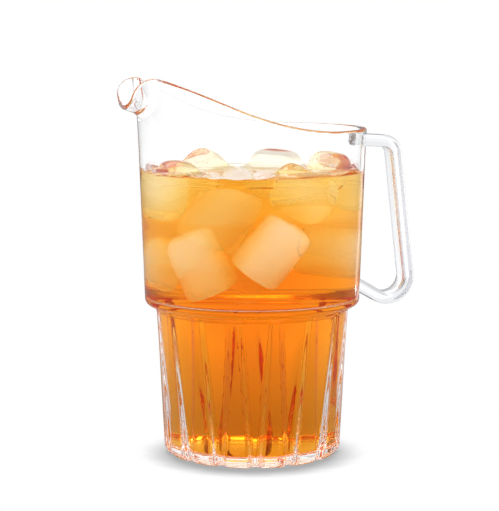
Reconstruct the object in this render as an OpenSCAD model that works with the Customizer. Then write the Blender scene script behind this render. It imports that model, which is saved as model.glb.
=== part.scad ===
// Clear plastic pitcher of iced drink, in millimetres.
// Z is up, the table is z = 0 and the body's axis is the Z axis.
// The spout points along -X and the handle along +X.

/* [Upper wall] */
// Outer radius at the low part of the rim
rim_r = 65; // [62:0.5:72]
// Height of the low part of the rim
rim_z = 187; // [180:1:205]
// Outer radius of the upper wall at the step
step_r = 61.5; // [59:0.5:64]
// Height of the step's underside
step_z = 86; // [76:1:92]
// Rounding of the step's outer corner
step_round = 3.5; // [2:0.5:5]
// Cove between the step's underside and the lower wall
step_cove = 2; // [1:0.5:3]
// Thickness of the upper wall
wall = 3.2; // [2.5:0.1:4]
// Thickness of the ledge that the step makes inside
ledge_t = 4.5; // [3:0.5:7]
// Rounding of the ledge's corner and edge inside
ledge_round = 2.5; // [1:0.5:3]

/* [Lower wall] */
// Outer radius over the ribs, at the step
waist_r = 55; // [53:0.5:56.5]
// Outer radius over the ribs, at the table
base_r = 50.6; // [47:0.2:53]
// Rounding of the ribs' feet
base_round = 4.5; // [4:0.5:8]
// Rounding of the bottom corner in the flutes
core_round = 4; // [3:0.5:7]
// Thickness of the wall behind the flutes
flute_wall = 3; // [2.5:0.1:3.5]
// Thickness of the floor
floor_t = 4.5; // [3:0.5:6]
// Rounding of the floor's corner inside
floor_round = 5; // [2:0.5:8]

/* [Flutes] */
// Number of flutes round the lower wall
flute_count = 15; // [12:1:18]
// Depth of a flute at the table
flute_depth = 4.5; // [3:0.1:5.5]
// Depth of a flute at its top
flute_top_depth = 0.8; // [0.4:0.1:1.5]
// Width of a rib at the table
rib_base_w = 15.4; // [12:0.2:16]
// Width of a rib at its top
rib_top_w = 5.8; // [4:0.2:9]
// Turn of the flutes from the spout's centre line, in degrees
flute_turn = 3; // [-12:1:12]

/* [Spout] */
// Height of the lip's highest point
lip_top_z = 215.5; // [210:0.5:222]
// Distance from the axis to the lip's highest point
lip_x = 63; // [61:0.5:66]
// Rounding of the lip, seen from the side
lip_round = 11.5; // [9:0.5:13]
// Distance from the axis to the pouring tip
spout_reach = 75.5; // [74:0.5:82]
// Height of the pouring tip, at the middle of its wall
tip_z = 199.7; // [197:0.1:203]
// Width of the trough between the middles of its walls
trough_w = 43; // [36:1:48]
// Radius of the trough's belly
belly_r = 30; // [27:1:36]
// Radius of the trough's sides
side_r = 12; // [9:0.5:14]
// Upward tilt of the trough, in degrees
trough_tilt = 19; // [12:1:26]
// Thickness of the trough's wall
trough_wall = 2.6; // [2:0.1:3.2]
// Slope of the rim where it climbs to the spout, in degrees
climb_angle = 24.5; // [22:0.5:28]
// Radius of the curve at the foot of the climb
climb_r = 160; // [90:1:170]

/* [Handle] */
// Width of the bar
handle_w = 14; // [10:0.5:20]
// Thickness of the bar
handle_t = 7; // [6:0.2:9]
// Rounding of the bar's edges
handle_edge = 2.5; // [1:0.1:2.9]
// Distance from the axis to the grip's outermost point
handle_reach = 98; // [92:0.5:110]
// Height of the handle's lowest point
handle_low_z = 82.6; // [76:0.2:100]
// Height of the bar's middle where it leaves the wall at the top
handle_top_z = 179.5; // [170:0.5:183]
// Downward slope of the upper arm, in degrees
arm_slope = 4; // [0:1:10]
// Middle radius of the upper bend
upper_bend_r = 7.5; // [5:0.5:12]
// Middle radius of the lower bend
lower_bend_r = 12.7; // [8:0.1:15]
// Outward lean of the grip, in degrees
grip_lean = 6.6; // [2:0.2:9]
// Upward slope of the lower arm, in degrees
foot_slope = 30; // [20:1:36]
// Bond line between each handle root and the wall
bond_gap = 0.1; // [0.05:0.05:0.3]

/* [Drink] */
// Height of the drink's surface
drink_z = 161.5; // [140:0.5:170]
// Gap between the drink and the wall
drink_gap = 0.1; // [0.05:0.05:0.3]

/* [Ice] */
// Width of an ice cube, both ways across its length
ice_w = 25; // [20:0.5:27]
// Length of an ice cube
ice_l = 36; // [28:0.5:38]
// Rounding of an ice cube's long edges
ice_round = 6; // [3:0.5:9]
// Radius to which the corners of a sunken cube have melted
sunk_corner_r = 22; // [20:0.5:24]
// Radius to which the ends and corners of a cube afloat have melted
afloat_corner_r = 17.5; // [16:0.5:17.5]
// Gap between an ice cube and the drink, the wall or another cube
ice_gap = 0.2; // [0.1:0.05:0.4]
// Turn of the heap of ice about the axis, in degrees
heap_turn = -17; // [-180:1:180]

/* [Hidden] */
$fn = 64;
// Each ice cube's centre, across, back and down from the drink's surface, and its spin, dip and heading
ICE = [
    [[-43, -10, 9], [0, -82, 14]],
    [[-30, 26, 5], [20, -40, 30]],
    [[14, 39, 3], [10, 5, -10]],
    [[25, -21, 10], [20, 32, -10]],
    [[44, 8, 5], [0, 98, 8]],
    [[-26, -30, 48], [40, 65, 10]],
    [[10, -41, 40], [25, -54, 0]],
    [[37, 0, 44], [20, 8, -5]],
    [[-14, -4, 24], [30, -65, 0]],
    [[24, 33, 34], [30, 5, -35]],
    [[-17, 37, 31], [-60, -30, 35]],
    [[1, 20, 49], [50, -40, -65]],
    [[-38, 6, 51], [30, -5, 70]],
];
NODES = [
    "pitcher_body", "handle", "drink",
    "ice_cube_01", "ice_cube_02", "ice_cube_03", "ice_cube_04", "ice_cube_05",
    "ice_cube_06", "ice_cube_07", "ice_cube_08", "ice_cube_09", "ice_cube_10",
    "ice_cube_11", "ice_cube_12", "ice_cube_13",
];

// Place of the first ice cube in the list of nodes
first_ice = len(NODES) - len(ICE);
// How many of the ice cubes float, from the first in the list
afloat = 5;

// Overlap that carries a cut clear of a face
cut = 1;
// How far a round and the straight side that runs into it reach past each other
bite = 0.002;
// Steps round each edge of the handle's bar and along each of its bends
edge_steps = 4;
bend_steps = 12;
// Height to which the wall is drawn before the rim is cut
blank_z = lip_top_z + cut;
// Radius that lies outside every piece
far_r = handle_reach + spout_reach;
flute_top_z = step_z - step_cove;
ledge_z = step_z + ledge_t;
rib_lean = (waist_r - base_r) / step_z;
wall_lean = (rim_r - step_r) / (rim_z - step_z);
core_r = base_r - flute_depth;
core_top_r = rib_radius(flute_top_z) - flute_top_depth;
bore_lean = (core_top_r - core_r) / flute_top_z;

function rib_radius(z) = base_r + rib_lean * z;
function wall_radius(z) = step_r + wall_lean * (z - step_z);
function bore_radius(z) = core_r + bore_lean * z - flute_wall;

// The side of a cone from radius r0 at z0 to r1 at z1, filled to the axis, with its lower corner rounded
module rounded_cone(r0, z0, r1, z1, corner) {
    lean = (r1 - r0) / (z1 - z0);
    slant = sqrt(1 + lean * lean);
    centre_r = r0 + lean * corner - corner * slant;
    start = (corner - bite) / slant;
    polygon([
        [0, z0],
        [centre_r, z0],
        [centre_r + start, z0 + corner - start * lean],
        [r1, z1],
        [0, z1],
    ]);
    translate([centre_r, z0 + corner])
        circle(corner);
}

// The cove outside a cone, where the cone reaches radius r and a flat face at height z
module cove(r, z, lean, size) {
    slant = sqrt(1 + lean * lean);
    centre = [r - lean * size + size * slant, z - size];
    foot = [centre[0] - size / slant, centre[1] + size * lean / slant];
    difference() {
        polygon([
            foot,
            centre,
            [centre[0], z + cut],
            [foot[0] - cut, z + cut],
            [foot[0] - cut, foot[1]],
        ]);
        translate(centre)
            circle(size + bite);
    }
}

// Outside of the upper wall, grown by a gap, from the step to the given height
module wall_profile(top_z, gap = 0) {
    rounded_cone(
        wall_radius(step_z) + gap, step_z - gap,
        wall_radius(top_z) + gap, top_z, step_round + gap
    );
}

// Outside of the body, without the ribs
module core_profile() {
    rounded_cone(core_r, 0, core_top_r, flute_top_z, core_round);
    polygon([
        [0, flute_top_z],
        [rib_radius(flute_top_z), flute_top_z],
        [waist_r, step_z],
        [0, step_z],
    ]);
    cove(waist_r, step_z, rib_lean, step_cove);
    wall_profile(blank_z);
}

// Hollow inside of the body, made smaller by a gap, up to the given height
module cavity_profile(top_z, gap = 0) {
    floor_z = floor_t + gap;
    shelf_z = ledge_z + gap;
    rounded_cone(
        bore_radius(floor_z) - gap, floor_z,
        bore_radius(shelf_z) - gap, shelf_z, floor_round - gap
    );
    cove(bore_radius(shelf_z) - gap, shelf_z, bore_lean, ledge_round + gap);
    rounded_cone(
        wall_radius(shelf_z) - wall - gap, shelf_z,
        wall_radius(top_z) - wall - gap, top_z, ledge_round - gap
    );
}

// One rib, from the axis outwards, seen from outside as a narrow trapezium
module rib_wedge() {
    rotate([90, 0, 90])
        linear_extrude(far_r)
            polygon([
                [-rib_base_w / 2, 0],
                [rib_base_w / 2, 0],
                [rib_top_w / 2, flute_top_z],
                [-rib_top_w / 2, flute_top_z],
            ]);
}

module ribs() {
    rib_pitch = 360 / flute_count;
    intersection() {
        rotate_extrude()
            rounded_cone(base_r, 0, rib_radius(flute_top_z), flute_top_z, base_round);
        for (i = [0 : flute_count - 1])
            rotate(180 + flute_turn + (i + 0.5) * rib_pitch)
                rib_wedge();
    }
}

// Cross-section of the trough, grown by a margin: a wide belly between two tighter sides, open at the top
module trough_section(margin) {
    side_x = trough_w / 2 - side_r;
    side_drop = sqrt(pow(belly_r - side_r, 2) - side_x * side_x);
    side_z = belly_r - side_drop;
    reach = (belly_r + margin + cut) / side_drop;
    for (side = [-1, 1])
        translate([side * side_x, side_z])
            circle(side_r + margin + bite);
    intersection() {
        translate([0, belly_r])
            circle(belly_r + margin);
        polygon([
            [0, belly_r],
            [side_x * reach, belly_r - side_drop * reach],
            [-side_x * reach, belly_r - side_drop * reach],
        ]);
    }
    translate([-trough_w / 2 - margin, side_z])
        square([trough_w + 2 * margin, belly_r]);
}

// The trough as a solid bar from inside the body out past the tip
module trough_bar(margin) {
    inward = spout_reach - lip_x + trough_w / 2;
    translate([-spout_reach, 0, tip_z])
        rotate([0, trough_tilt, 0])
            translate([inward, 0, 0])
                rotate([90, 0, -90])
                    linear_extrude(inward + trough_w / 2)
                        trough_section(margin);
}

// Side view of everything under the rim and the lip, with the spout to the right
module rim_outline() {
    lip = [lip_x, lip_top_z - lip_round];
    along = [cos(climb_angle), sin(climb_angle)];
    crest = lip + (lip_round - bite) * [-along[1], along[0]];
    knee = crest + along * (rim_z - crest[1]) / along[1];
    blend = climb_r * tan(climb_angle / 2);
    blend_foot = knee - [blend, 0];
    blend_centre = blend_foot + [0, climb_r];
    polygon([
        [-far_r, -cut],
        [spout_reach, -cut],
        [spout_reach, tip_z],
        lip + [lip_round, 0],
        lip,
        crest,
        knee,
        [-far_r, rim_z],
    ]);
    translate(lip)
        circle(lip_round, $fn = 96);
    difference() {
        polygon([blend_foot, knee, knee + blend * along, blend_centre]);
        translate(blend_centre)
            circle(climb_r + bite, $fn = 360);
    }
}

module pitcher_body() {
    color([0.93, 0.94, 0.96, 0.35])
        intersection() {
            difference() {
                union() {
                    rotate_extrude()
                        core_profile();
                    ribs();
                    trough_bar(trough_wall / 2);
                }
                rotate_extrude()
                    cavity_profile(blank_z + cut);
                trough_bar(-trough_wall / 2);
            }
            rotate([90, 0, 0])
                linear_extrude(2 * far_r, center = true)
                    mirror([1, 0])
                        rim_outline();
        }
}

// Cross-section of the handle's bar: points of a rounded rectangle, each across the thickness and the width
bar_ring = [
    for (quarter = [0 : 3], step = [0 : edge_steps])
        let (angle = 90 * (quarter + step / edge_steps))
        let (x_side = quarter == 0 || quarter == 3 ? 1 : -1)
        let (y_side = quarter < 2 ? 1 : -1)
        [
            x_side * (handle_t / 2 - handle_edge) + handle_edge * cos(angle),
            y_side * (handle_w / 2 - handle_edge) + handle_edge * sin(angle),
        ]
];

// Stations of a bend about a centre in the XZ plane, each a middle point and the way out from the centre
function bend_stations(centre, radius, from, to) = [
    for (step = [0 : bend_steps])
        let (angle = from + (to - from) * step / bend_steps)
        let (outward = [cos(angle), sin(angle)])
        [centre + radius * outward, outward]
];

// A bar swept through stations in the XZ plane
module swept_bar(stations) {
    sides = len(bar_ring);
    last = len(stations) - 1;
    points = [
        for (station = stations, spot = bar_ring)
            let (middle = station[0] + spot[0] * station[1])
            [middle[0], spot[1], middle[1]]
    ];
    walls = [
        for (ring = [0 : last - 1], i = [0 : sides - 1])
            let (next = (i + 1) % sides)
            [
                ring * sides + i,
                ring * sides + next,
                (ring + 1) * sides + next,
                (ring + 1) * sides + i,
            ]
    ];
    start_cap = [for (i = [sides - 1 : -1 : 0]) i];
    end_cap = [for (i = [0 : sides - 1]) last * sides + i];
    polyhedron(points, concat(walls, [start_cap, end_cap]));
}

module handle() {
    lower_centre = [
        handle_reach - handle_t / 2 - lower_bend_r,
        handle_low_z + handle_t / 2 + lower_bend_r,
    ];
    arm_way = [cos(arm_slope), -sin(arm_slope)];
    arm_up = [sin(arm_slope), cos(arm_slope)];
    foot_way = [-cos(foot_slope), sin(foot_slope)];
    foot_down = [-sin(foot_slope), -cos(foot_slope)];
    grip_out = [cos(grip_lean), sin(grip_lean)];
    arm_start = [wall_radius(handle_top_z) - wall, handle_top_z];
    grip_end = lower_centre + lower_bend_r * grip_out;
    bend_start = arm_start - upper_bend_r * arm_up;
    arm_run = ((grip_end - bend_start) * grip_out - upper_bend_r) / (arm_way * grip_out);
    upper_centre = bend_start + arm_run * arm_way;
    foot_start = lower_centre + lower_bend_r * foot_down;
    foot_run = (foot_start[0] - step_r + wall) / cos(foot_slope);
    color([0.93, 0.94, 0.96, 0.35])
        difference() {
            swept_bar(concat(
                [[arm_start, arm_up]],
                bend_stations(upper_centre, upper_bend_r, 90 - arm_slope, grip_lean),
                bend_stations(lower_centre, lower_bend_r, grip_lean, -90 - foot_slope),
                [[foot_start + foot_run * foot_way, foot_down]]
            ));
            rotate_extrude()
                wall_profile(blank_z, bond_gap);
        }
}

module rounded_square(size, corner) {
    square([size - 2 * corner, size], center = true);
    square([size, size - 2 * corner], center = true);
    for (x = [-1, 1], y = [-1, 1])
        translate([x, y] * (size / 2 - corner))
            circle(corner);
}

// An ice cube along X, grown by a gap, with its long edges rounded and its corners melted to a sphere
module ice_block(corner_r, gap) {
    intersection() {
        rotate([0, 90, 0])
            linear_extrude(ice_l + 2 * gap, center = true)
                rounded_square(ice_w + 2 * gap, ice_round + gap);
        sphere(corner_r + gap);
    }
}

module placed_ice(i, gap = 0) {
    centre = ICE[i][0];
    rotate(heap_turn)
        translate([centre[0], centre[1], drink_z - centre[2]])
            rotate(ICE[i][1])
                ice_block(i < afloat ? afloat_corner_r : sunk_corner_r, gap);
}

module drink() {
    color([0.85, 0.45, 0.05, 0.8])
        difference() {
            rotate_extrude()
                cavity_profile(drink_z, drink_gap);
            for (i = [0 : len(ICE) - 1])
                placed_ice(i, ice_gap);
        }
}

// An ice cube, melted away where it would press into the wall or into a cube listed before it
module ice_cube(i) {
    color([0.95, 0.95, 0.93, 0.6])
        difference() {
            intersection() {
                placed_ice(i);
                rotate_extrude()
                    cavity_profile(blank_z, ice_gap);
            }
            for (j = [0 : 1 : i - 1])
                placed_ice(j, ice_gap);
        }
}

pitcher_body();
handle();
drink();
for (i = [0 : len(ICE) - 1])
    ice_cube(i);
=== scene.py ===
"""Looks of a clear plastic pitcher of iced drink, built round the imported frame."""

import math

import bpy
import numpy as np
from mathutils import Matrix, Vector


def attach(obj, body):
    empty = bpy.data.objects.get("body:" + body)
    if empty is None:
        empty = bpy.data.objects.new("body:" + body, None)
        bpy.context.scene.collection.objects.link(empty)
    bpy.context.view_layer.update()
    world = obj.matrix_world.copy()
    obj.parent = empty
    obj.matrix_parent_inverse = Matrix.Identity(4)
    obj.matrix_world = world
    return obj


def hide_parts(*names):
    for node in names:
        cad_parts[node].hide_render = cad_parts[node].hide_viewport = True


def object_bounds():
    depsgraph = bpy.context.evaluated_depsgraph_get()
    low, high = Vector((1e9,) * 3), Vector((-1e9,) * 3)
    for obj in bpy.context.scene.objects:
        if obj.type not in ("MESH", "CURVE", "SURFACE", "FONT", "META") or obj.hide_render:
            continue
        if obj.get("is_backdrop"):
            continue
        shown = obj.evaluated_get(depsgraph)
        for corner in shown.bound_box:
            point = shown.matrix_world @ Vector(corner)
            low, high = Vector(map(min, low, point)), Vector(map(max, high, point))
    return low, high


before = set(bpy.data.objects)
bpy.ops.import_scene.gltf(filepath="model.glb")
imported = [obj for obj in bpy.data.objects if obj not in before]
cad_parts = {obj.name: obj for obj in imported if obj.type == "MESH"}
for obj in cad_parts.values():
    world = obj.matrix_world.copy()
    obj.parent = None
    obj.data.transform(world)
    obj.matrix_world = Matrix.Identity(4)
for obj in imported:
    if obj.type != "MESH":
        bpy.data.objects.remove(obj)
cad_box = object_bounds()

# Blender's metres in one millimetre. The sizes below are in millimetres, as the solids have them.
MM = 0.001

# Upper wall
RIM_R = 65.0
RIM_Z = 187.0
STEP_R = 61.5
STEP_Z = 86.0
STEP_ROUND = 3.5
STEP_COVE = 2.0
WALL = 3.2
LEDGE_T = 4.5
LEDGE_ROUND = 2.5
LEDGE_CORNER = 0.8
RIM_ROUND = 1.25

# Lower wall and flutes
WAIST_R = 55.0
BASE_R = 50.6
BASE_ROUND = 4.5
CORE_ROUND = 4.0
FLUTE_WALL = 3.0
FLOOR_T = 4.5
FLOOR_ROUND = 5.0
FLUTE_COUNT = 15
FLUTE_DEPTH = 4.5
FLUTE_TOP_DEPTH = 0.8
RIB_BASE_W = 15.4
RIB_TOP_W = 5.8
FLUTE_TURN = 3.0
RIB_EDGE = 2.0
FLUTE_CORNER = 2.0

# Spout
LIP_TOP_Z = 215.5
LIP_X = 63.0
LIP_ROUND = 11.5
SPOUT_REACH = 75.5
TIP_Z = 199.7
TROUGH_W = 43.0
BELLY_R = 30.0
SIDE_R = 12.0
TROUGH_TILT = math.radians(19)
TROUGH_WALL = 2.6
CLIMB_ANGLE = math.radians(24.5)
CLIMB_R = 160.0
SPOUT_FILLET = 4.0

# Handle
HANDLE_W = 14.0
HANDLE_T = 7.0
HANDLE_EDGE = 2.5
HANDLE_REACH = 98.0
HANDLE_LOW_Z = 82.6
HANDLE_TOP_Z = 179.5
ARM_SLOPE = math.radians(4)
UPPER_BEND_R = 7.5
LOWER_BEND_R = 12.7
GRIP_LEAN = math.radians(6.6)
FOOT_SLOPE = math.radians(30)
BOND_GAP = 0.1
ROOT_FILLET = 2.0
ROOT_EDGE = 0.9

# Drink and ice: the drink's level, how far it climbs a wall, and how fast that climb dies out
DRINK_Z = 161.5
DRINK_GAP = 0.1
MENISCUS = 3.2
CAPILLARY = 2.4
ICE_W = 25.0
ICE_L = 36.0
ICE_ROUND = 6.0
SUNK_CORNER_R = 22.0
AFLOAT_CORNER_R = 17.5
ICE_GAP = 0.1
ICE_MELT = 0.8
# Rounding where the drink would be a thin film: between cubes, and at the edge of its climb
FILM = 2.8
FILM_EDGE = 2.2
HEAP_TURN = math.radians(-17)
# Each ice cube's centre, across, back and down from the drink's surface, and its spin, dip and heading
ICE = [
    [(-43, -10, 9), (0, -82, 14)],
    [(-30, 26, 5), (20, -40, 30)],
    [(14, 39, 3), (10, 5, -10)],
    [(25, -21, 10), (20, 32, -10)],
    [(44, 8, 5), (0, 98, 8)],
    [(-26, -30, 48), (40, 65, 10)],
    [(10, -41, 40), (25, -54, 0)],
    [(37, 0, 44), (20, 8, -5)],
    [(-14, -4, 24), (30, -65, 0)],
    [(24, 33, 34), (30, 5, -35)],
    [(-17, 37, 31), (-60, -30, 35)],
    [(1, 20, 49), (50, -40, -65)],
    [(-38, 6, 51), (30, -5, 70)],
]
# How many of the cubes float, from the first in the list
AFLOAT = 5
# Layers of the drink, absorbing less towards the top as painted light that makes the upper drink paler:
# where each starts, and how strong it is
LAYERS = [(0, 1.0), (92, 0.88), (112, 0.7), (136, 0.54), (157, 0.5)]
LAYER_GAP = 0.02

# Heading of the camera's view, from +Y towards +X
CAMERA_TURN = math.radians(17)

# Refraction at each kind of boundary, as the index inside over the index outside
IOR_PLASTIC = 1.585
IOR_DRINK = 1.333
IOR_ICE = 1.31
IOR_PLASTIC_IN_DRINK = IOR_PLASTIC / IOR_DRINK
IOR_ICE_IN_DRINK = 1.02
IOR_NONE = 1.0

# Colours, and how much light each metre of a material takes or scatters
WHITE = (1, 1, 1, 1)
PLASTIC_TINT = (0.995, 0.995, 0.997, 1)
PLASTIC_GLOSS = (0.5, 0.5, 0.5, 1)
# Grey that the plastic takes: a slight smoke tint in the body, painted shade in the handle
PLASTIC_SMOKE_AND_SHADE = (0.72, 0.74, 0.78)
PLASTIC_ROUGHEST = 0.03
BODY_SMOKE = 1
# The handle's plastic takes far more light than the body's: painted shade, a darker copy of the same
# plastic for the handle's grey look
HANDLE_PAINTED_SHADE = 36
DRINK_AMBER = (0.972, 0.735, 0.0)
DRINK_STRENGTH = 64
CLEAR_ICE_CLOUD = 5
CLEAR_ICE_ROUGHEST = 0.04
CLOUDY_ICE_CLOUD = 60
CLOUDY_ICE_ROUGHEST = 0.06

# Stage, in metres
FLOOR_HALF = 12.0
FLOOR_DROP = 0.0002
SHADOW_REACH = 0.02
SHADOW_RISE = 1.2
BACKDROP_LIGHT = 1.03
FILL_LIGHT = 0.3

# Values worked out from those above
FLUTE_TOP_Z = STEP_Z - STEP_COVE
LEDGE_Z = STEP_Z + LEDGE_T
RIB_LEAN = (WAIST_R - BASE_R) / STEP_Z
WALL_LEAN = (RIM_R - STEP_R) / (RIM_Z - STEP_Z)
CORE_R = BASE_R - FLUTE_DEPTH
CORE_LEAN = (BASE_R + RIB_LEAN * FLUTE_TOP_Z - FLUTE_TOP_DEPTH - CORE_R) / FLUTE_TOP_Z
RIB_PITCH = 2 * math.pi / FLUTE_COUNT
RIB_START = math.pi + math.radians(FLUTE_TURN) + RIB_PITCH / 2
HIGHEST_WET_Z = DRINK_Z + 2.5 * MENISCUS


# Fields: the distance outside a shape at each point, in millimetres, negative inside it

def round_max(a, b, radius):
    """What two shapes share, with the edge where they meet rounded."""
    corner = np.hypot(np.maximum(a + radius, 0), np.maximum(b + radius, 0))
    return np.minimum(np.maximum(a, b), -radius) + corner


def round_min(a, b, radius):
    """Two shapes together, with a fillet where they meet."""
    return -round_max(-a, -b, radius)


def cone(rho, z, radius, lean):
    """A cone about Z, from its radius at z = 0 and how much that grows with height."""
    return (rho - radius - lean * z) / math.hypot(1, lean)


def wall_field(rho, z):
    """The upper wall, filled, with its rounded lower edge."""
    side = cone(rho, z - STEP_Z, STEP_R, WALL_LEAN)
    return round_max(side, STEP_Z - z, STEP_ROUND)


def lower_field(x, y, z, rho):
    """The fluted lower wall, filled: ribs round a slimmer core, under a plain ring."""
    rib_side = cone(rho, z, BASE_R, RIB_LEAN)
    foot = round_max(rib_side, -z, BASE_ROUND)
    core = round_max(cone(rho, z, CORE_R, CORE_LEAN), -z, CORE_ROUND)
    turn = np.arctan2(y, x) - RIB_START
    turn = turn - RIB_PITCH * np.round(turn / RIB_PITCH)
    share = np.clip(z / FLUTE_TOP_Z, 0, 1)
    half_w = (RIB_BASE_W + (RIB_TOP_W - RIB_BASE_W) * share) / 2
    rib = round_max(foot, np.abs(rho * np.sin(turn)) - half_w, RIB_EDGE)
    ring = np.maximum(rib_side, FLUTE_TOP_Z - z)
    fluted = round_min(core, rib, FLUTE_CORNER)
    return round_min(fluted, ring, FLUTE_CORNER)


def cavity_field(x, y, z):
    """The inside: a bore under a wider room, with a ledge between them."""
    rho = np.hypot(x, y)
    bore = round_max(cone(rho, z, CORE_R - FLUTE_WALL, CORE_LEAN), FLOOR_T - z, FLOOR_ROUND)
    room_side = cone(rho, z - STEP_Z, STEP_R - WALL, WALL_LEAN)
    room = round_max(room_side, LEDGE_Z - z, LEDGE_CORNER)
    return round_min(bore, room, LEDGE_ROUND)


def trough_field(x, y, z, margin):
    """The spout's trough as a filled bar: a wide belly between two tighter sides."""
    side_x = TROUGH_W / 2 - SIDE_R
    side_drop = math.sqrt((BELLY_R - SIDE_R) ** 2 - side_x ** 2)
    side_z = BELLY_R - side_drop
    inward = SPOUT_REACH - LIP_X + TROUGH_W / 2
    out, up = x + SPOUT_REACH, z - TIP_Z
    along = out * math.cos(TROUGH_TILT) - up * math.sin(TROUGH_TILT)
    lift = out * math.sin(TROUGH_TILT) + up * math.cos(TROUGH_TILT)
    across = np.abs(y)
    belly = np.hypot(across, lift - BELLY_R) - BELLY_R
    side = np.hypot(across - side_x, lift - side_z) - SIDE_R
    under_belly = across * side_drop < (BELLY_R - lift) * side_x
    section = np.where(under_belly, belly, np.where(lift > side_z, across - TROUGH_W / 2, side))
    return np.maximum(section - margin, along - inward)


def rim_field(x, z):
    """Everything under the rim and the lip, seen from the side."""
    out = -x
    lip_z = LIP_TOP_Z - LIP_ROUND
    cos, sin = math.cos(CLIMB_ANGLE), math.sin(CLIMB_ANGLE)
    crest_x, crest_z = LIP_X - LIP_ROUND * sin, lip_z + LIP_ROUND * cos
    knee_x = crest_x + cos * (RIM_Z - crest_z) / sin
    run = CLIMB_R * math.tan(CLIMB_ANGLE / 2)
    level = np.maximum(z - RIM_Z, out - SPOUT_REACH)
    slope = (z - crest_z) * cos - (out - crest_x) * sin
    slope = np.maximum(slope, (out - crest_x) * cos + (z - crest_z) * sin)
    lip = np.hypot(out - LIP_X, z - lip_z) - LIP_ROUND
    fall_x, fall_z = SPOUT_REACH - LIP_X - LIP_ROUND, lip_z - TIP_Z
    face = ((out - SPOUT_REACH) * fall_z + (z - TIP_Z) * fall_x) / math.hypot(fall_x, fall_z)
    face = np.maximum(np.maximum(face, out - SPOUT_REACH), z - lip_z)
    face = np.maximum(face, LIP_X - 2 * LIP_ROUND - out)
    bend = CLIMB_R - np.hypot(out - knee_x + run, z - RIM_Z - CLIMB_R)
    bend_end = (out - knee_x - run * cos) * cos + (z - RIM_Z - run * sin) * sin
    bend = np.maximum(np.maximum(bend, knee_x - run - out), bend_end)
    under = np.minimum(np.minimum(level, slope), np.minimum(lip, face))
    return np.minimum(under, bend)


def body_field(x, y, z):
    """The body: its outside and spout less its inside, cut off along the rim."""
    rho = np.hypot(x, y)
    outside = round_min(wall_field(rho, z), lower_field(x, y, z, rho), STEP_COVE)
    outside = np.maximum(outside, -z)
    outside = round_min(outside, trough_field(x, y, z, TROUGH_WALL / 2), SPOUT_FILLET)
    inside = round_min(cavity_field(x, y, z), trough_field(x, y, z, -TROUGH_WALL / 2), SPOUT_FILLET)
    return round_max(np.maximum(outside, -inside), rim_field(x, z), RIM_ROUND)


def handle_route():
    """The bar's middle line: straight runs as end points and bends as centre, radius and angles."""
    reach = HANDLE_REACH - HANDLE_T / 2 - LOWER_BEND_R
    lower = np.array([reach, HANDLE_LOW_Z + HANDLE_T / 2 + LOWER_BEND_R])
    arm_way = np.array([math.cos(ARM_SLOPE), -math.sin(ARM_SLOPE)])
    arm_up = np.array([math.sin(ARM_SLOPE), math.cos(ARM_SLOPE)])
    foot_way = np.array([-math.cos(FOOT_SLOPE), math.sin(FOOT_SLOPE)])
    foot_down = np.array([-math.sin(FOOT_SLOPE), -math.cos(FOOT_SLOPE)])
    grip_out = np.array([math.cos(GRIP_LEAN), math.sin(GRIP_LEAN)])
    root_r = STEP_R + WALL_LEAN * (HANDLE_TOP_Z - STEP_Z) - WALL
    arm_start = np.array([root_r, HANDLE_TOP_Z])
    grip_end = lower + LOWER_BEND_R * grip_out
    bend_start = arm_start - UPPER_BEND_R * arm_up
    arm_run = ((grip_end - bend_start) @ grip_out - UPPER_BEND_R) / (arm_way @ grip_out)
    upper = bend_start + arm_run * arm_way
    foot_start = lower + LOWER_BEND_R * foot_down
    foot_run = (foot_start[0] - STEP_R + WALL) / math.cos(FOOT_SLOPE)
    runs = [
        (arm_start, upper + UPPER_BEND_R * arm_up),
        (upper + UPPER_BEND_R * grip_out, grip_end),
        (foot_start, foot_start + foot_run * foot_way),
    ]
    bends = [
        (upper, UPPER_BEND_R, GRIP_LEAN, math.pi / 2 - ARM_SLOPE),
        (lower, LOWER_BEND_R, -math.pi / 2 - FOOT_SLOPE, GRIP_LEAN),
    ]
    return runs, bends


def bar_field(x, y, z):
    """The handle's bar: a rounded rectangle swept along its middle line."""
    runs, bends = handle_route()
    away = np.full(np.shape(x), 1e3)
    for start, end in runs:
        way = end - start
        part = ((x - start[0]) * way[0] + (z - start[1]) * way[1]) / (way @ way)
        part = np.clip(part, 0, 1)
        away = np.minimum(away, np.hypot(x - start[0] - part * way[0], z - start[1] - part * way[1]))
    for centre, radius, low, high in bends:
        middle = (low + high) / 2
        turn = np.arctan2(z - centre[1], x - centre[0]) - middle
        turn = np.abs((turn + math.pi) % (2 * math.pi) - math.pi)
        ring = np.abs(np.hypot(x - centre[0], z - centre[1]) - radius)
        away = np.where(turn <= (high - low) / 2, np.minimum(away, ring), away)
    thick = away - HANDLE_T / 2 + HANDLE_EDGE
    wide = np.abs(y) - HANDLE_W / 2 + HANDLE_EDGE
    corner = np.hypot(np.maximum(thick, 0), np.maximum(wide, 0))
    return corner + np.minimum(np.maximum(thick, wide), 0) - HANDLE_EDGE


def handle_field(x, y, z):
    """The bar with a fillet at each root, kept off the wall by the bond gap."""
    wall = wall_field(np.hypot(x, y), z)
    bar = round_min(bar_field(x, y, z), wall, ROOT_FILLET)
    return round_max(bar, BOND_GAP - wall, ROOT_EDGE)


def turn_matrix(spin, dip, heading):
    """A turn about X, then Y, then Z, in degrees."""
    cx, cy, cz = (math.cos(math.radians(a)) for a in (spin, dip, heading))
    sx, sy, sz = (math.sin(math.radians(a)) for a in (spin, dip, heading))
    about_x = np.array([[1, 0, 0], [0, cx, -sx], [0, sx, cx]])
    about_y = np.array([[cy, 0, sy], [0, 1, 0], [-sy, 0, cy]])
    about_z = np.array([[cz, -sz, 0], [sz, cz, 0], [0, 0, 1]])
    return about_z @ about_y @ about_x


def ice_place(i):
    """Centre and turn of an ice cube."""
    (across, back, down), turns = ICE[i]
    heap = turn_matrix(0, 0, math.degrees(HEAP_TURN))
    centre = heap @ np.array([across, back, DRINK_Z - down])
    return centre, heap @ turn_matrix(*turns)


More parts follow.
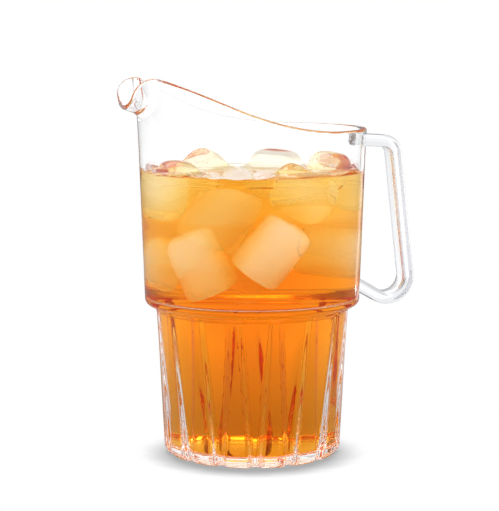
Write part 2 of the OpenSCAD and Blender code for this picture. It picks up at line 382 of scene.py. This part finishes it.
def ripple(u, v, w, seed):
    """Smooth bumps between 0 and 1, the same for the same seed."""
    count, rate = 7, 0.17
    draws = np.random.default_rng(seed)
    ways = draws.normal(0, rate, (count, 3))
    phases = draws.uniform(0, 2 * math.pi, count)
    total = 0
    for way, phase in zip(ways, phases):
        total = total + np.sin(way[0] * u + way[1] * v + way[2] * w + phase)
    return 0.5 + np.clip(total / count, -0.5, 0.5)


def ice_field(i, x, y, z):
    """An ice cube, rounded and melted unevenly inside its solid's outline."""
    centre, turn = ice_place(i)
    u, v, w = (
        turn[0, k] * (x - centre[0]) + turn[1, k] * (y - centre[1]) + turn[2, k] * (z - centre[2])
        for k in range(3)
    )
    across = np.abs(v) - ICE_W / 2 + ICE_ROUND
    deep = np.abs(w) - ICE_W / 2 + ICE_ROUND
    bar = np.hypot(np.maximum(across, 0), np.maximum(deep, 0))
    bar = bar + np.minimum(np.maximum(across, deep), 0) - ICE_ROUND
    block = round_max(bar, np.abs(u) - ICE_L / 2, ICE_ROUND / 2)
    corner_r = AFLOAT_CORNER_R if i < AFLOAT else SUNK_CORNER_R
    melted = round_max(block, np.sqrt(u * u + v * v + w * w) - corner_r, ICE_ROUND / 2)
    return melted + ICE_MELT * ripple(u, v, w, i)


def all_ice_field(x, y, z):
    """All the ice together, with the thin gaps between cubes filled."""
    nearest = ice_field(0, x, y, z)
    for i in range(1, len(ICE)):
        nearest = round_min(nearest, ice_field(i, x, y, z), FILM)
    return nearest


def drink_parts(x, y, z):
    """Fields of the drink's side, its surface with its climb, and its pockets for the ice."""
    side = cavity_field(x, y, z) + DRINK_GAP
    ice = all_ice_field(x, y, z)
    cling = 0.4 + ripple(x, y, 0 * z, len(ICE))
    at_wall = cling * np.exp(np.minimum(side, 0) / CAPILLARY)
    at_ice = np.exp(-np.maximum(ice, 0) / CAPILLARY)
    return side, z - DRINK_Z - MENISCUS * (at_wall + at_ice), ICE_GAP - ice


def drink_field(x, y, z):
    """The drink, with the edges of its thin films rounded off."""
    side, surface, pockets = drink_parts(x, y, z)
    return round_max(round_max(side, pockets, FILM), surface, FILM_EDGE)


# Meshes: quads laid where a field crosses zero on a grid, then settled on the surface

def straight(x, y, z):
    return x, y, z


def polar(rho, turn, z):
    return rho * np.cos(turn), rho * np.sin(turn), z


def sample(field, place, axes):
    """The field at every grid point, worked out a slab at a time."""
    slabs = []
    for first in axes[0]:
        grid = np.meshgrid([first], axes[1], axes[2], indexing="ij")
        slabs.append(field(*place(*grid)))
    return np.concatenate(slabs)


def crossing_points(axes, value, cells):
    """The middle of the field's crossings on the edges of each cell, in grid coordinates."""
    total = np.zeros((len(cells[0]), 3))
    hits = np.zeros(len(cells[0]))
    for axis in range(3):
        u, v = (axis + 1) % 3, (axis + 2) % 3
        for du, dv in ((0, 0), (1, 0), (0, 1), (1, 1)):
            low = list(cells)
            low[u], low[v] = low[u] + du, low[v] + dv
            high = list(low)
            high[axis] = high[axis] + 1
            at_low, at_high = value[tuple(low)], value[tuple(high)]
            crosses = (at_low < 0) != (at_high < 0)
            part = np.where(crosses, at_low / np.where(crosses, at_low - at_high, 1), 0)
            spot = np.stack([axes[k][low[k]] for k in range(3)], 1)
            spot[:, axis] += part * (axes[axis][high[axis]] - axes[axis][low[axis]])
            total += np.where(crosses[:, None], spot, 0)
            hits += crosses
    return total / hits[:, None]


def surface_net(field, axes, place=straight, ring=False):
    """Points and faces of the field's surface. With ring, the second axis goes full circle about Z."""
    axes = [np.asarray(axis, float) for axis in axes]
    if ring:
        axes[1] = np.append(axes[1], axes[1][0] + 2 * math.pi)
    value = sample(field, place, axes)
    inside = value < 0
    size = tuple(n - 1 for n in value.shape)
    corners = sum(
        inside[i:i + size[0], j:j + size[1], k:k + size[2]].astype(np.int8)
        for i in (0, 1) for j in (0, 1) for k in (0, 1)
    )
    cells = np.nonzero((corners > 0) & (corners < 8))
    index = np.full(size, -1)
    index[cells] = np.arange(len(cells[0]))
    points = np.stack(place(*crossing_points(axes, value, cells).T), 1)
    faces, poles = [], []
    for axis in range(3):
        u, v = (axis + 1) % 3, (axis + 2) % 3
        low = np.take(inside, range(size[axis]), axis)
        high = np.take(inside, range(1, size[axis] + 1), axis)
        edges = list(np.nonzero(low != high))
        outward = low[tuple(edges)]
        whole = np.ones(len(outward), bool)
        if ring and axis != 1:
            whole &= edges[1] < size[1]
        loop, at_pole = [], np.zeros(len(outward), bool)
        for du, dv in ((0, 0), (-1, 0), (-1, -1), (0, -1)):
            cell = list(edges)
            cell[u], cell[v] = cell[u] + du, cell[v] + dv
            if ring:
                cell[1] = cell[1] % size[1]
                at_pole |= (cell[0] < 0) & (axis == 2)
            kept = [np.clip(cell[k], 0, size[k] - 1) for k in range(3)]
            whole &= at_pole | np.all([kept[k] == cell[k] for k in range(3)], 0)
            loop.append(index[tuple(kept)])
        loop = np.stack(loop, 1)
        loop[~outward] = loop[~outward][:, ::-1]
        faces.append(loop[whole & ~at_pole])
        for level in np.unique(edges[2][at_pole]) if ring else ():
            poles.append(loop[whole & at_pole & (edges[2] == level)])
    return points, np.concatenate(faces), poles


def close_poles(points, poles):
    """A point on the axis for each ring of faces that reaches it, and the triangles round it."""
    fans = []
    for ring in poles:
        hub = points[ring[:, 0]].mean(0)
        hub[:2] = 0
        fans.append(np.column_stack([ring[:, 0], np.full(len(ring), len(points)), ring[:, 3]]))
        points = np.vstack([points, hub])
    return points, fans


def slope_of(field, points, reach=0.02):
    """The field's slope at each point, by differences."""
    slope = np.empty_like(points)
    for axis in range(3):
        step = np.zeros(3)
        step[axis] = reach
        ahead, behind = (points + step).T, (points - step).T
        slope[:, axis] = (field(*ahead) - field(*behind)) / (2 * reach)
    return slope


def settle(field, points, steps=3, most=0.6):
    """Moves points onto the field's surface."""
    for _ in range(steps):
        slope = slope_of(field, points)
        steep = np.maximum((slope * slope).sum(1), 0.2)
        move = -(field(*points.T) / steep)[:, None] * slope
        length = np.linalg.norm(move, axis=1, keepdims=True)
        points = points + move * np.minimum(1, most / np.maximum(length, 1e-9))
    return points


def add_piece(name, points, faces, normals, ior):
    """A mesh object in metres, with its normals and its refraction at each point."""
    mesh = bpy.data.meshes.new(name)
    mesh.from_pydata((points * MM).tolist(), [], [face for part in faces for face in part.tolist()])
    mesh.validate()
    mesh.shade_smooth()
    mesh.normals_split_custom_set_from_vertices(normals.tolist())
    layer = mesh.attributes.new("ior", "FLOAT", "POINT")
    layer.data.foreach_set("value", np.asarray(ior, np.float32))
    piece = bpy.data.objects.new(name, mesh)
    bpy.context.scene.collection.objects.link(piece)
    return piece


def field_piece(name, field, axes, ior_of, place=straight, ring=False):
    points, quads, poles = surface_net(field, axes, place, ring)
    points, fans = close_poles(points, poles)
    points = settle(field, points)
    slope = slope_of(field, points)
    normals = slope / np.maximum(np.linalg.norm(slope, axis=1, keepdims=True), 1e-9)
    return add_piece(name, points, [quads] + fans, normals, ior_of(points))


def steps_between(stops):
    """Grid places from (end, step) pairs, starting at the first end."""
    places = [stops[0][0]]
    for (start, _), (end, step) in zip(stops, stops[1:]):
        count = max(1, round((end - start) / step))
        places.extend(start + (end - start) * (i + 1) / count for i in range(count))
    return np.array(places)


# Pieces

def clear_body():
    spout = math.radians(26)
    turns = np.concatenate([
        np.linspace(math.pi - spout, math.pi + spout, 104, endpoint=False),
        np.linspace(math.pi + spout, 3 * math.pi - spout, 360, endpoint=False),
    ])
    # The grid is fine at the walls, the floor, the step, the drink's edge and the rim
    fine = 0.8
    radii = steps_between([(4, 0), (38, 8.5), (SPOUT_REACH + 5.5, fine)])
    heights = steps_between([
        (-1, 0), (2 * FLOOR_T, fine), (STEP_Z - 8, 4), (STEP_Z + 11, fine),
        (DRINK_Z, 5), (HIGHEST_WET_Z, 0.36), (RIM_Z - 3, 3), (LIP_TOP_Z + 2, 0.9),
    ])
    near = 0.3

    def ior(points):
        x, y, z = points.T
        wet = (np.abs(cavity_field(x, y, z)) < near) & (drink_parts(x, y, z)[1] < 0)
        on_wall = np.abs(wall_field(np.hypot(x, y), z)) < BOND_GAP
        bonded = on_wall & (bar_field(x, y, z) < ROOT_FILLET / 2)
        index = np.where(wet, IOR_PLASTIC_IN_DRINK, IOR_PLASTIC)
        return np.where(bonded, IOR_NONE, index)

    piece = field_piece("clear_body", body_field, (radii, turns, heights), ior, polar, True)
    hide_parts("pitcher_body")
    return piece


def clear_handle():
    step = 0.55
    reach = (
        np.arange(STEP_R - 5.5, HANDLE_REACH + 2, step),
        np.arange(-HANDLE_W, HANDLE_W + step, step),
        np.arange(HANDLE_LOW_Z - 6, HANDLE_TOP_Z + HANDLE_T + 4, step),
    )

    def ior(points):
        x, y, z = points.T
        bonded = wall_field(np.hypot(x, y), z) < 2 * BOND_GAP
        return np.where(bonded, IOR_NONE, IOR_PLASTIC)

    piece = field_piece("clear_handle", handle_field, reach, ior)
    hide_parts("handle")
    return piece


def amber_drink(i):
    """One layer of the drink. The top one has a finer grid, for the thin edges of its climb."""
    on_top = i + 1 == len(LAYERS)
    step = 0.6 if on_top else 1.2
    reach = RIM_R - 1
    side = np.arange(-reach, reach + step, step)
    low = max(LAYERS[i][0], FLOOR_T)
    high = HIGHEST_WET_Z if on_top else LAYERS[i + 1][0] - LAYER_GAP
    heights = np.arange(low - step, high + 2 * step, step)
    near = 0.05

    def field(x, y, z):
        return np.maximum(drink_field(x, y, z), np.maximum(low - z, z - high))

    def ior(points):
        sides, surface, pockets = drink_parts(*points.T)
        open_top = surface > np.maximum(sides, pockets) - near
        return np.where(open_top, IOR_DRINK, IOR_NONE)

    piece = field_piece(f"amber_drink_{i + 1}", field, (side, side, heights), ior)
    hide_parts("drink")
    return piece


def ice_block(i):
    step = 1.0
    centre, _ = ice_place(i)
    reach = SUNK_CORNER_R + 2 * step
    axes = [np.arange(middle - reach, middle + reach, step) for middle in centre]

    def field(x, y, z):
        return ice_field(i, x, y, z)

    def ior(points):
        surface = drink_parts(*points.T)[1]
        return np.where(surface > 0, IOR_ICE, IOR_ICE_IN_DRINK)

    number = f"{i + 1:02d}"
    piece = field_piece(f"ice_block_{number}", field, axes, ior)
    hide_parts(f"ice_cube_{number}")
    return piece


# Materials

def math_node(tree, operation, a, b):
    """One sum on two values, each a number or a node's output."""
    node = tree.nodes.new("ShaderNodeMath")
    node.operation = operation
    for socket, value in zip(node.inputs, (a, b)):
        if isinstance(value, (int, float)):
            socket.default_value = value
        else:
            tree.links.new(value, socket)
    return node.outputs[0]


def spread(tree, value, source, target):
    """A value taken from one range to another, and held inside it."""
    node = tree.nodes.new("ShaderNodeMapRange")
    for name, end in zip(("From Min", "From Max", "To Min", "To Max"), (*source, *target)):
        node.inputs[name].default_value = end
    tree.links.new(value, node.inputs["Value"])
    return node.outputs["Result"]


def new_material(name):
    material = bpy.data.materials.new(name)
    material.use_nodes = True
    tree = material.node_tree
    shader = tree.nodes["Principled BSDF"]
    return material, tree, shader


def clear_material(name, tint):
    """A see-through material. Its refraction is stored on the mesh, as wet and bonded parts differ."""
    material, tree, shader = new_material(name)
    shader.inputs["Base Color"].default_value = tint
    shader.inputs["Transmission Weight"].default_value = 1
    stored = tree.nodes.new("ShaderNodeAttribute")
    stored.attribute_name = "ior"
    tree.links.new(stored.outputs["Fac"], shader.inputs["IOR"])
    return material, tree, shader


def roughen(tree, shader, scale, most):
    """Uneven polish, from smooth to the most rough."""
    place = tree.nodes.new("ShaderNodeTexCoord")
    texture = tree.nodes.new("ShaderNodeTexNoise")
    texture.inputs["Scale"].default_value = scale
    texture.inputs["Detail"].default_value = 2.0
    tree.links.new(place.outputs["Object"], texture.inputs["Vector"])
    polish = spread(tree, texture.outputs["Fac"], (0, 1), (0, most))
    tree.links.new(polish, shader.inputs["Roughness"])


def fill(tree, kind, density, colour):
    """What the material holds: a volume that absorbs or scatters light."""
    volume = tree.nodes.new(kind)
    volume.inputs["Density"].default_value = density
    volume.inputs["Color"].default_value = colour
    tree.links.new(volume.outputs["Volume"], tree.nodes["Material Output"].inputs["Volume"])


def plastic_material(name, smoke_and_shade):
    material, tree, shader = clear_material(name, PLASTIC_TINT)
    shader.inputs["Specular Tint"].default_value = PLASTIC_GLOSS
    roughen(tree, shader, 60, PLASTIC_ROUGHEST)
    # Absorption: a slight smoke tint in the body, painted shade in the handle
    fill(tree, "ShaderNodeVolumeAbsorption", smoke_and_shade, (*PLASTIC_SMOKE_AND_SHADE, 1))
    return material


def drink_material(i):
    material, tree, shader = clear_material(f"amber_drink_{i + 1}", WHITE)
    shader.inputs["Roughness"].default_value = 0
    # Higher layers absorb less: painted light, the drink paler towards the top
    strength = DRINK_STRENGTH * LAYERS[i][1]
    fill(tree, "ShaderNodeVolumeAbsorption", strength, (*DRINK_AMBER, 1))
    return material


def ice_material(name, cloud, roughest):
    material, tree, shader = clear_material(name, WHITE)
    roughen(tree, shader, 120, roughest)
    fill(tree, "ShaderNodeVolumeScatter", cloud, WHITE)
    return material


# Stage

def view_way():
    """The level direction in which the camera looks."""
    return Vector((math.sin(CAMERA_TURN), math.cos(CAMERA_TURN), 0))


def floor_glow(tree, path):
    """Light that clear pieces show from the floor, stronger away from the object."""
    place = tree.nodes.new("ShaderNodeTexCoord")
    away = tree.nodes.new("ShaderNodeVectorMath")
    away.operation = "LENGTH"
    tree.links.new(place.outputs["Object"], away.inputs[0])
    glow = spread(tree, away.outputs["Value"], (0.1, 0.6), (0.35, 1.0))
    return math_node(tree, "MULTIPLY", path["Is Transmission Ray"], glow)


def floor_shadow(tree):
    """A white floor, grey where the object shuts out the light from above and behind."""
    shade = tree.nodes.new("ShaderNodeAmbientOcclusion")
    shade.samples = 16
    shade.inputs["Distance"].default_value = SHADOW_REACH
    lean = tree.nodes.new("ShaderNodeCombineXYZ")
    for socket, value in zip(lean.inputs, (view_way() + Vector((0, 0, SHADOW_RISE))).normalized()):
        socket.default_value = value
    tree.links.new(lean.outputs["Vector"], shade.inputs["Normal"])
    white = tree.nodes.new("ShaderNodeEmission")
    open_share = spread(tree, shade.outputs["AO"], (0.4, 0.95), (0.42, 1.0))
    tree.links.new(open_share, white.inputs["Strength"])
    return white.outputs["Emission"]


def floor_material():
    """What the camera sees is the shadow; what lights the object is a plain pale floor."""
    material, tree, shader = new_material("pale_floor")
    path = tree.nodes.new("ShaderNodeLightPath").outputs
    shader.inputs["Roughness"].default_value = 0.9
    shader.inputs["Specular IOR Level"].default_value = 0
    shader.inputs["Emission Color"].default_value = WHITE
    pale = spread(tree, path["Is Glossy Ray"], (0, 1), (0.85, 0.3))
    tree.links.new(pale, shader.inputs["Base Color"])
    tree.links.new(floor_glow(tree, path), shader.inputs["Emission Strength"])
    mix = tree.nodes.new("ShaderNodeMixShader")
    tree.links.new(path["Is Camera Ray"], mix.inputs["Fac"])
    tree.links.new(shader.outputs["BSDF"], mix.inputs[1])
    tree.links.new(floor_shadow(tree), mix.inputs[2])
    tree.links.new(mix.outputs["Shader"], tree.nodes["Material Output"].inputs["Surface"])
    return material


def add_floor():
    """A pale floor that keeps the shadow near the object and runs out into the white background."""
    half, z = FLOOR_HALF, -FLOOR_DROP
    mesh = bpy.data.meshes.new("floor")
    corners = [(-half, -half, z), (half, -half, z), (half, half, z), (-half, half, z)]
    mesh.from_pydata(corners, [], [(0, 1, 2, 3)])
    mesh.materials.append(floor_material())
    floor = bpy.data.objects.new("floor", mesh)
    bpy.context.scene.collection.objects.link(floor)
    floor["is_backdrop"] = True


def add_world():
    """White to the camera, a dim fill, and for clear pieces a sky that darkens on the camera's side."""
    world = bpy.data.worlds.new("studio")
    world.use_nodes = True
    bpy.context.scene.world = world
    tree = world.node_tree
    background = tree.nodes["Background"]
    background.inputs["Color"].default_value = WHITE
    place = tree.nodes.new("ShaderNodeTexCoord")
    ahead = tree.nodes.new("ShaderNodeVectorMath")
    ahead.operation = "DOT_PRODUCT"
    ahead.inputs[1].default_value = view_way()
    tree.links.new(place.outputs["Generated"], ahead.inputs[0])
    split = tree.nodes.new("ShaderNodeSeparateXYZ")
    tree.links.new(place.outputs["Generated"], split.inputs["Vector"])
    backdrop = spread(tree, ahead.outputs["Value"], (-0.5, 0.2), (0.2, BACKDROP_LIGHT))
    overhead = spread(tree, split.outputs["Z"], (0.3, 0.7), (0.0, 1.35))
    sky = math_node(tree, "MAXIMUM", backdrop, overhead)
    path = tree.nodes.new("ShaderNodeLightPath").outputs
    seen = math_node(tree, "MULTIPLY", path["Is Camera Ray"], BACKDROP_LIGHT)
    through = math_node(tree, "MULTIPLY", path["Is Transmission Ray"], sky)
    either = math_node(tree, "MAXIMUM", path["Is Camera Ray"], path["Is Transmission Ray"])
    rest = math_node(tree, "MULTIPLY", math_node(tree, "SUBTRACT", 1, either), FILL_LIGHT)
    light = math_node(tree, "ADD", math_node(tree, "ADD", seen, through), rest)
    tree.links.new(light, background.inputs["Strength"])


def add_lamp():
    """A soft box above and behind the object."""
    data = bpy.data.lights.new("soft_box", "AREA")
    data.shape = "SQUARE"
    data.size = 1.2
    data.energy = 20
    lamp = bpy.data.objects.new("soft_box", data)
    lamp.location = (-0.1, 0.6, 1.5)
    aim = Vector((0, 0, 0.1))
    lamp.rotation_euler = (aim - lamp.location).to_track_quat("-Z", "Y").to_euler()
    bpy.context.scene.collection.objects.link(lamp)


def add_camera():
    pitch = math.radians(7.18)
    distance, side, height = 1.0, -0.0015, 0.2395
    forward = view_way()
    right = Vector((math.cos(CAMERA_TURN), -math.sin(CAMERA_TURN), 0))
    data = bpy.data.cameras.new("camera")
    data.sensor_width = 36
    data.lens = 123.55
    camera = bpy.data.objects.new("camera", data)
    camera.location = right * side - forward * distance + Vector((0, 0, height))
    way = forward * math.cos(pitch) - Vector((0, 0, math.sin(pitch)))
    camera.rotation_euler = way.to_track_quat("-Z", "Y").to_euler()
    bpy.context.scene.collection.objects.link(camera)
    bpy.context.scene.camera = camera


def set_render():
    """Enough bounces for light that runs a long way inside the plastic, and for the cloudy ice."""
    scene = bpy.context.scene
    scene.view_settings.view_transform = "Standard"
    scene.cycles.max_bounces = 512
    scene.cycles.transmission_bounces = 512
    scene.cycles.glossy_bounces = 512
    scene.cycles.transparent_max_bounces = 32
    scene.cycles.volume_bounces = 16
    scene.cycles.blur_glossy = 0


def build():
    clear_ice = ice_material("clear_ice", CLEAR_ICE_CLOUD, CLEAR_ICE_ROUGHEST)
    cloudy_ice = ice_material("cloudy_ice", CLOUDY_ICE_CLOUD, CLOUDY_ICE_ROUGHEST)
    pieces = [
        (clear_body(), plastic_material("clear_moulded_plastic", BODY_SMOKE)),
        # The handle takes the darker copy of the plastic, as painted shade
        (clear_handle(), plastic_material("clear_handle_plastic_shaded", HANDLE_PAINTED_SHADE)),
    ]
    pieces += [(amber_drink(i), drink_material(i)) for i in range(len(LAYERS))]
    pieces += [(ice_block(i), clear_ice if i < AFLOAT else cloudy_ice) for i in range(len(ICE))]
    for piece, material in pieces:
        piece.data.materials.append(material)
        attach(piece, "root")


add_camera()
add_world()
add_lamp()
add_floor()
set_render()
build()

boxes = {"cad": cad_box, "visual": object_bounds()}
{name: [list(corner) for corner in box] for name, box in boxes.items()}
